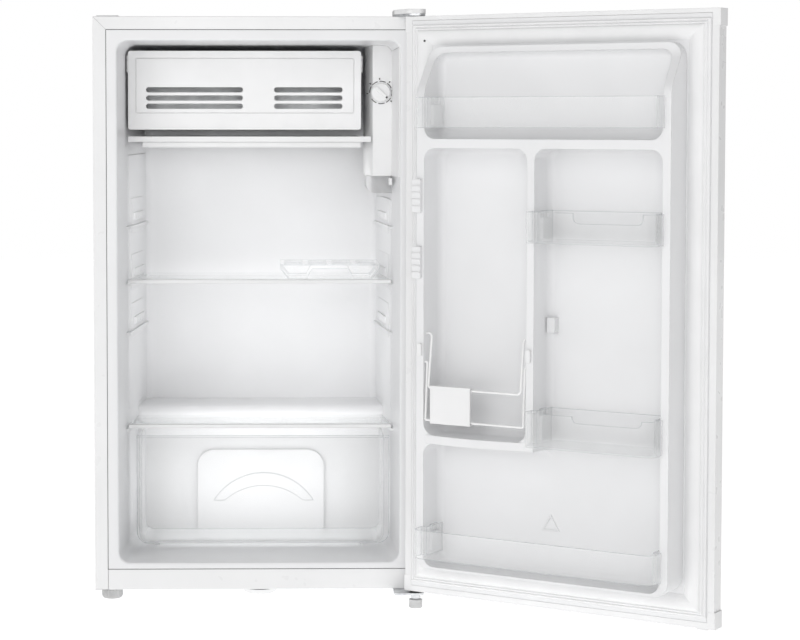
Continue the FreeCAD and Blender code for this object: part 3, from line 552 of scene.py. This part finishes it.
def cup_shadow_line():
    """The thin dark line round the cup under the front beam."""
    low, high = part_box("drain_cup")
    centre, radius, thick, count = (low + high) / 2, (high.x - low.x) / 2, 1.6 * MM, 48
    vertices, faces = [], []
    for step in range(count):
        angle = math.tau * step / count
        vertices += [(centre.x + reach * math.cos(angle), centre.y + reach * math.sin(angle), height)
                     for reach in (radius - thick, radius + 0.3 * MM)
                     for height in (high.z - thick, high.z - 0.2 * MM)]
        faces += tube_faces(4 * step, 4 * ((step + 1) % count))
    piece("cup_shadow_line", vertices, faces, "black_plastic", "cabinet")


def edge_bevels():
    """Real rounds on the outer edges of some box-like parts; the widths are millimetres."""
    for node, width in (("outer_shell", 1.4), ("freezer_flap", 1.2), ("upper_shelf_trim", 0.9),
                        ("crisper_cover_trim", 0.9), ("base_beam", 1.2), ("top_hinge_cover", 1.2)):
        shape = frame["nodes"][node]
        weld = shape.modifiers.new("weld", "WELD")
        weld.merge_threshold = 0.01 * MM
        bevel = shape.modifiers.new("eased", "BEVEL")
        bevel.width, bevel.segments = width * MM, 2
        bevel.limit_method, bevel.angle_limit = "ANGLE", math.radians(50)
        bevel.harden_normals = True


# ---------- stage, light and camera ----------

def stage():
    size = 8.0
    mesh = bpy.data.meshes.new("floor")
    mesh.from_pydata([(-size, -size, 0), (size, -size, 0), (size, size, 0), (-size, size, 0)], [],
                     [(0, 1, 2, 3)])
    floor = bpy.data.objects.new("floor", mesh)
    bpy.context.scene.collection.objects.link(floor)
    pale = Finish("pale_floor", 0.8)
    pale.colour(pale.noise(3), shade(0.93), shade(0.95))
    pale.set(Emission_Color=(1, 1, 1, 1), Emission_Strength=0.6)
    mesh.materials.append(pale.material)


def area_light(name, place, aim, width, height, power):
    data = bpy.data.lights.new(name, "AREA")
    data.shape, data.size, data.size_y, data.energy = "RECTANGLE", width, height, power
    lamp = bpy.data.objects.new(name, data)
    lamp.location = place
    lamp.rotation_euler = (Vector(aim) - Vector(place)).to_track_quat("-Z", "Y").to_euler()
    lamp.visible_camera = False
    lamp.visible_transmission = False
    bpy.context.scene.collection.objects.link(lamp)
    return lamp


def surround():
    """White round about, seen as pure white by the camera and lighting with less."""
    world = bpy.data.worlds.new("studio")
    world.use_nodes = True
    nodes, links = world.node_tree.nodes, world.node_tree.links
    background = nodes["Background"]
    background.inputs["Color"].default_value = (1, 1, 1, 1)
    path = nodes.new("ShaderNodeLightPath")
    strength = nodes.new("ShaderNodeMapRange")
    strength.inputs["To Min"].default_value = 0.45
    strength.inputs["To Max"].default_value = 1.0
    links.new(path.outputs["Is Camera Ray"], strength.inputs["Value"])
    links.new(strength.outputs["Result"], background.inputs["Strength"])
    bpy.context.scene.world = world
    bpy.context.scene.view_settings.view_transform = "Standard"


def lights():
    """A broad soft key from the left, a fill from the front, and a lift in each part of the cabinet."""
    area_light("key", (-1.9, -3.3, 2.2), (0.1, 0, 0.45), 2.4, 2.4, 39)
    area_light("fill", (0.1, -3.3, 0.9), (0.05, 0, 0.45), 0.9, 0.9, 9)
    tray, shelf, drawer = (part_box(node) for node in ("drip_tray", "crisper_cover_glass", "crisper_drawer"))
    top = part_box("inner_liner")[1].z
    bands = (("freezer_lift", 0.03, tray[0].z, top, 0.2),
             ("shelf_lift", 0.095, shelf[1].z, tray[0].z, 2.2),
             ("drawer_lift", 0.1, drawer[0].z, drawer[1].z, 5))
    for name, depth, bottom, ceiling, watts_per_area in bands:
        across, height, middle = 0.33, (ceiling - bottom) * 0.85, (ceiling + bottom) / 2
        lift = area_light(name, (0, depth, middle), (0, 1, middle), across, height,
                          watts_per_area * across * height)
        lift.visible_glossy = False


def camera():
    """As far off, high and turned as the reference view, with a small shift for its framing."""
    data = bpy.data.cameras.new("view")
    data.sensor_width = 36
    data.lens = 98.85
    data.shift_x, data.shift_y = 0.10, -0.1037
    data.clip_end = 50
    eye = bpy.data.objects.new("view", data)
    eye.location = (0.0370, -3.1536, 0.6994)
    eye.rotation_euler = (math.radians(90 - 3.0), math.radians(-0.02), math.radians(-0.92))
    bpy.context.scene.collection.objects.link(eye)
    bpy.context.scene.camera = eye


stage()
surround()
lights()
camera()
dress_cad()
edge_bevels()
gasket()
gap_shade_and_seams()
dial_marks()
knob_grip()
liner_mark()
seal_hole_shade()
pad_ribs()
foot_flutes()
cup_shadow_line()
